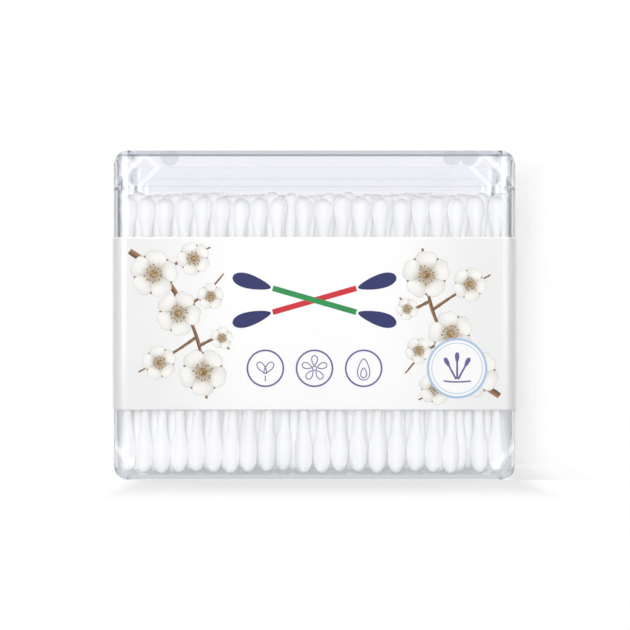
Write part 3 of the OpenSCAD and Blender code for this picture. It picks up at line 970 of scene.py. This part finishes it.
class SWABTUB_OT_sprigs(bpy.types.Operator):
    """Prints the blossoms, their eyes and the twigs on both sides of the label"""

    bl_idname = "swab_tub.sprigs"
    bl_label = "Sprigs"

    def petals(self, settings):
        finish = new_finish("petal_print")
        spot = finish.kept("spot", "Vector")
        along, side, _ = finish.axes(spot)
        veins = finish.noise(finish.stretched(spot, (1.5, 14, 9)), 1.0, 2.0)
        throat = finish.ramp(along + (veins - 0.5) * 0.25, 0.12, 0.62)
        colour = settings.petal_colour
        white = finish.mix(finish.ramp(side, -0.1, 0.5), colour, shade(colour, 0.86))
        tip = finish.mix(finish.ramp(along, 0.72, 1.02) * 0.45, white, shade(colour, 0.82))
        body = finish.mix(throat, settings.petal_shadow, tip)
        edge = finish.ramp(finish.kept("rim"), 0.0, 0.5, 0.55, 0.0)
        return finish.show(finish.coated({
            "Base Color": finish.mix(edge, body, shade(settings.petal_shadow, 0.95)),
            "Roughness": 0.36 + veins * 0.08,
        }))

    def brown(self, settings):
        finish = new_finish("bark_print")
        spot = finish.kept("spot", "Vector")
        _, side, _ = finish.axes(spot)
        grain = finish.noise(finish.stretched(spot, (1.2, 1.6, 5)), 0.8, 4.0, 0.65)
        light = finish.ramp(side + (grain - 0.5) * 1.6, -0.9, 0.9)
        wood = finish.mix(light, shade(settings.bark, 0.3), shade(settings.bark, 1.35))
        return finish.show(finish.coated({"Base Color": wood, "Roughness": 0.36 + grain * 0.1}))

    def eyes(self, settings):
        finish = new_finish("eye_print")
        dots = finish.noise(finish.kept("spot", "Vector"), 0.12, 2.0, 0.7)
        heart = finish.mix(finish.ramp(dots, 0.4, 0.6), linear(120, 88, 52), linear(196, 168, 116))
        edge = finish.ramp(finish.kept("rim"), 0.0, 0.9, 0.7, 0.0)
        return finish.show(finish.coated({
            "Base Color": finish.mix(edge, heart, shade(settings.bark, 0.6)),
            "Roughness": 0.36 + dots * 0.08,
        }))

    def draw_twigs(self, twigs, side):
        for number, points in enumerate(TWIGS):
            line = smooth_line([twigs.spot(side, p) for p in points], 8)
            reach = np.linspace(0, 1, len(line))
            thick = SIDE_TWIG if number else MAIN_TWIG
            widths = thick * (1 - 0.55 * reach) * (1 + 0.12 * np.sin(reach * 37 + number))
            twigs.strip(line, widths, TWIG_LAYER + number * LAYER_STEP, number)

    def draw_petals(self, twigs, blossoms, centre, radius, turn, number, rng):
        """The petals of one blossom, with the tip of a sepal in the gap after each."""
        for k in range(PETALS):
            angle = math.radians(turn + k * 360 / PETALS)
            blossoms.plate(petal(centre, radius, angle, rng), PETAL_LAYER + k * PETAL_STEP,
                centre, angle, radius, number + k * 0.37)
            gap = toward(angle + math.pi / PETALS)
            sepal = [centre + gap * radius * t for t in np.linspace(0.2, 0.86, 7)]
            widths = radius * 0.34 * np.sin(np.linspace(0.9, math.pi - 0.06, 7))
            twigs.strip(sepal, widths, SEPAL_LAYER, k)

    def draw_eye(self, eyes, centre, radius, number, rng):
        """A disc with threads round it, each with a dot on its end."""
        eyes.plate(circle(centre, radius * 0.17, 24), EYE_LAYER, centre, 0, radius, number)
        for k in range(THREADS):
            way = toward(2 * math.pi * (k + rng.uniform(-0.3, 0.3)) / THREADS)
            start, end = radius * 0.1, radius * rng.uniform(0.26, 0.4)
            thread = [centre + way * t for t in (start, (start + end) / 2, end)]
            eyes.strip(thread, [0.1] * 3, THREAD_LAYER, k)
            dot = centre + way * end
            eyes.plate(circle(dot, 0.16 + 0.02 * radius, 8), THREAD_LAYER + LAYER_STEP, dot, 0, 1, k)

    def execute(self, context):
        settings = look()
        rng = random.Random(settings.seed + 1)
        twigs, blossoms, eyes = Inlay(), Inlay(), Inlay()
        for side in (0, 1):
            self.draw_twigs(twigs, side)
            for number, (x, z, radius, turn) in enumerate(BLOSSOMS):
                centre = twigs.spot(side, (x, z))
                self.draw_petals(twigs, blossoms, centre, radius, turn + side * 180, number, rng)
                self.draw_eye(eyes, centre, radius, number, rng)
        twigs.print_as("print_twigs_inked", self.brown(settings), "twig_ink", "print_twigs")
        blossoms.print_as("print_blossoms_inked", self.petals(settings), "blossom_ink", "print_blossoms")
        eyes.print_as("print_blossom_eyes_inked", self.eyes(settings), "eye_ink", "print_blossom_eyes")
        return {"FINISHED"}


def ink(name, colour, speckle=0.06):
    """A flat printing ink with the faint grain of its screen."""
    finish = new_finish(name)
    place = finish.place()
    grain = finish.noise(place, 0.18 * MM)
    soft = finish.noise(place, 5 * MM)
    tone = finish.ramp(grain * 0.6 + soft * 0.4, 0.3, 0.7)
    return finish.show(finish.coated({
        "Base Color": finish.mix(tone, shade(colour, 1 - speckle), shade(colour, 1 + speckle)),
        "Roughness": 0.34 + grain * 0.08,
    }))


def drop(centre, length, width, turn, count=40):
    """Outline of a cotton head in profile, with its neck at the start of its length."""
    outline = []
    for t, rise in once_round(count):
        half = width / 2 * math.sin(t) * (0.5 + 0.5 * rise) ** 1.1
        outline.append((rise * length - length / 2, half))
    return turned(outline, centre, turn)


def round_place(node):
    """The middle of a CAD node as x and z, and half its height, in mm."""
    low, high = box_mm(node)
    return np.array([(low.x + high.x) / 2, (low.z + high.z) / 2]), (high.z - low.z) / 2


class SWABTUB_OT_emblem(bpy.types.Operator):
    """Prints the crossed swabs, the three thin rings under them and the round badge"""

    bl_idname = "swab_tub.emblem"
    bl_label = "Emblem"

    def emblem(self, settings):
        middle, _ = round_place("print_emblem")
        length, tilt, head = 40, math.radians(16), 9.5
        swabs = ((tilt, "emblem_stick_red", settings.red), (-tilt, "emblem_stick_green", settings.green))
        heads = Inlay()
        for number, (turn, name, colour) in enumerate(swabs):
            way = toward(turn)
            stick_print = Inlay()
            line = [middle + way * t for t in np.linspace(-1, 1, 9) * (length / 2 - head + 1)]
            stick_print.strip(line, [1.5] * 9, EMBLEM_LAYER + EMBLEM_STEP * number)
            stick_print.print_as(name, ink(name, colour), "navy_ink")
            for end in (-1, 1):
                centre = middle + way * end * (length / 2 - head / 2 + 2)
                outline = drop(centre, head + 1, 5, turn + (end < 0) * math.pi)
                heads.plate(outline, HEAD_LAYER, centre, turn, head, rim=0.9)
        heads.print_as("print_emblem_inked", ink("navy_print", settings.navy), "navy_ink", "print_emblem")

    def sprout(self, marks, centre):
        """Two leaves over a short stem."""
        for turn in (50, 130):
            angle = math.radians(turn)
            leaf = centre + toward(angle) * 1.3 - np.array([0, 0.9])
            marks.band(drop(leaf, 3.6, 2.2, angle), THIN_LINE, MARK_LAYER)
        stem = [centre + np.array([0, t]) for t in (-3.4, -2.6, -1.9)]
        marks.strip(stem, [THIN_LINE] * 3, MARK_LAYER + MARK_STEP)

    def flower(self, marks, centre):
        """Open petals round a small ring."""
        for k in range(PETALS):
            angle = math.radians(90 + k * 360 / PETALS)
            marks.band(drop(centre + toward(angle) * 2.1, 2.5, 2.0, angle), THIN_LINE, MARK_LAYER)
        marks.band(circle(centre, 0.55, 24), THIN_LINE, MARK_LAYER + MARK_STEP)

    def drops(self, marks, centre):
        """A small drop in a larger one."""
        for down, length, width, layer in (
            (0.3, 5.6, 4.2, MARK_LAYER),
            (1.2, 2.6, 2.0, MARK_LAYER + MARK_STEP),
        ):
            outline = drop(centre - np.array([0, down]), length, width, math.radians(-90))
            marks.band(outline, THIN_LINE, layer)

    def rings(self, settings):
        low, high = box_mm("print_marks")
        middle, radius = round_place("print_marks")
        marks = Inlay()
        for x, motif in (
            (low.x + radius, self.sprout),
            (0.0, self.flower),
            (high.x - radius, self.drops),
        ):
            centre = np.array([x, middle[1]])
            marks.band(circle(centre, radius - 0.25, 72), 0.45, MARK_LAYER)
            motif(marks, centre)
        violet = ink("violet_print", settings.violet)
        marks.print_as("print_marks_inked", violet, "violet_ink", "print_marks")

    def badge(self, settings):
        centre, radius = round_place("print_badge")
        disc, ring, motif = Inlay(), Inlay(), Inlay()
        disc.plate(circle(centre, radius, 96), BADGE_LAYER, centre, 0, radius)
        white = ink("badge_white", shade(settings.paper_colour, 0.975), 0.01)
        disc.print_as("badge_ground", white, "badge_ink")
        for inside, width in ((0.3, 0.6), (1.3, 0.18)):
            ring.band(circle(centre, radius - inside, 96), width, BADGE_INK_LAYER)
        ring.print_as("print_badge_inked", ink("sky_print", settings.sky), "badge_ink", "print_badge")
        foot = centre + np.array([0, -3.4])
        for turn, reach in ((62, 6.6), (90, 7.2), (118, 6.6)):
            angle = math.radians(turn)
            way = toward(angle)
            line = [foot + way * t for t in np.linspace(0.6, reach - 1.6, 5)]
            motif.strip(line, [0.5] * 5, BADGE_INK_LAYER - LAYER_STEP)
            outline = drop(foot + way * (reach - 1), 2.9, 1.5, angle)
            motif.plate(outline, BADGE_INK_LAYER, foot + way * reach, angle, 1.5)
        ground = [centre + np.array([x, -3.6 + 0.02 * x * x]) for x in np.linspace(-3.6, 3.6, 9)]
        motif.strip(ground, [0.4] * 9, BADGE_INK_LAYER + LAYER_STEP)
        motif.print_as("badge_motif", ink("badge_violet_print", settings.violet), "violet_ink")

    def execute(self, context):
        settings = look()
        self.emblem(settings)
        self.rings(settings)
        self.badge(settings)
        return {"FINISHED"}


class SWABTUB_PT_sidebar(bpy.types.Panel):
    """Lists the steps that finish the tub"""

    bl_idname = "SWABTUB_PT_sidebar"
    bl_label = "Swab Tub"
    bl_space_type = "VIEW_3D"
    bl_region_type = "UI"
    bl_category = "Swab Tub"

    def draw(self, context):
        column = self.layout.column()
        for step in STEPS:
            column.operator(step.bl_idname)
        for name in SwabTubLook.__annotations__:
            column.prop(look(), name)


STEPS = (
    SWABTUB_OT_stage,
    SWABTUB_OT_clear_box,
    SWABTUB_OT_swabs,
    SWABTUB_OT_label,
    SWABTUB_OT_sprigs,
    SWABTUB_OT_emblem,
)
CLASSES = (SwabTubLook, *STEPS, SWABTUB_PT_sidebar)


def register():
    for cls in CLASSES:
        bpy.utils.register_class(cls)
    bpy.types.Scene.swab_tub_look = PointerProperty(type=SwabTubLook)


def unregister():
    del bpy.types.Scene.swab_tub_look
    for cls in reversed(CLASSES):
        bpy.utils.unregister_class(cls)


def main():
    register()
    for step in STEPS:
        group, call = step.bl_idname.split(".")
        getattr(getattr(bpy.ops, group), call)()


if __name__ == "__main__":
    main()
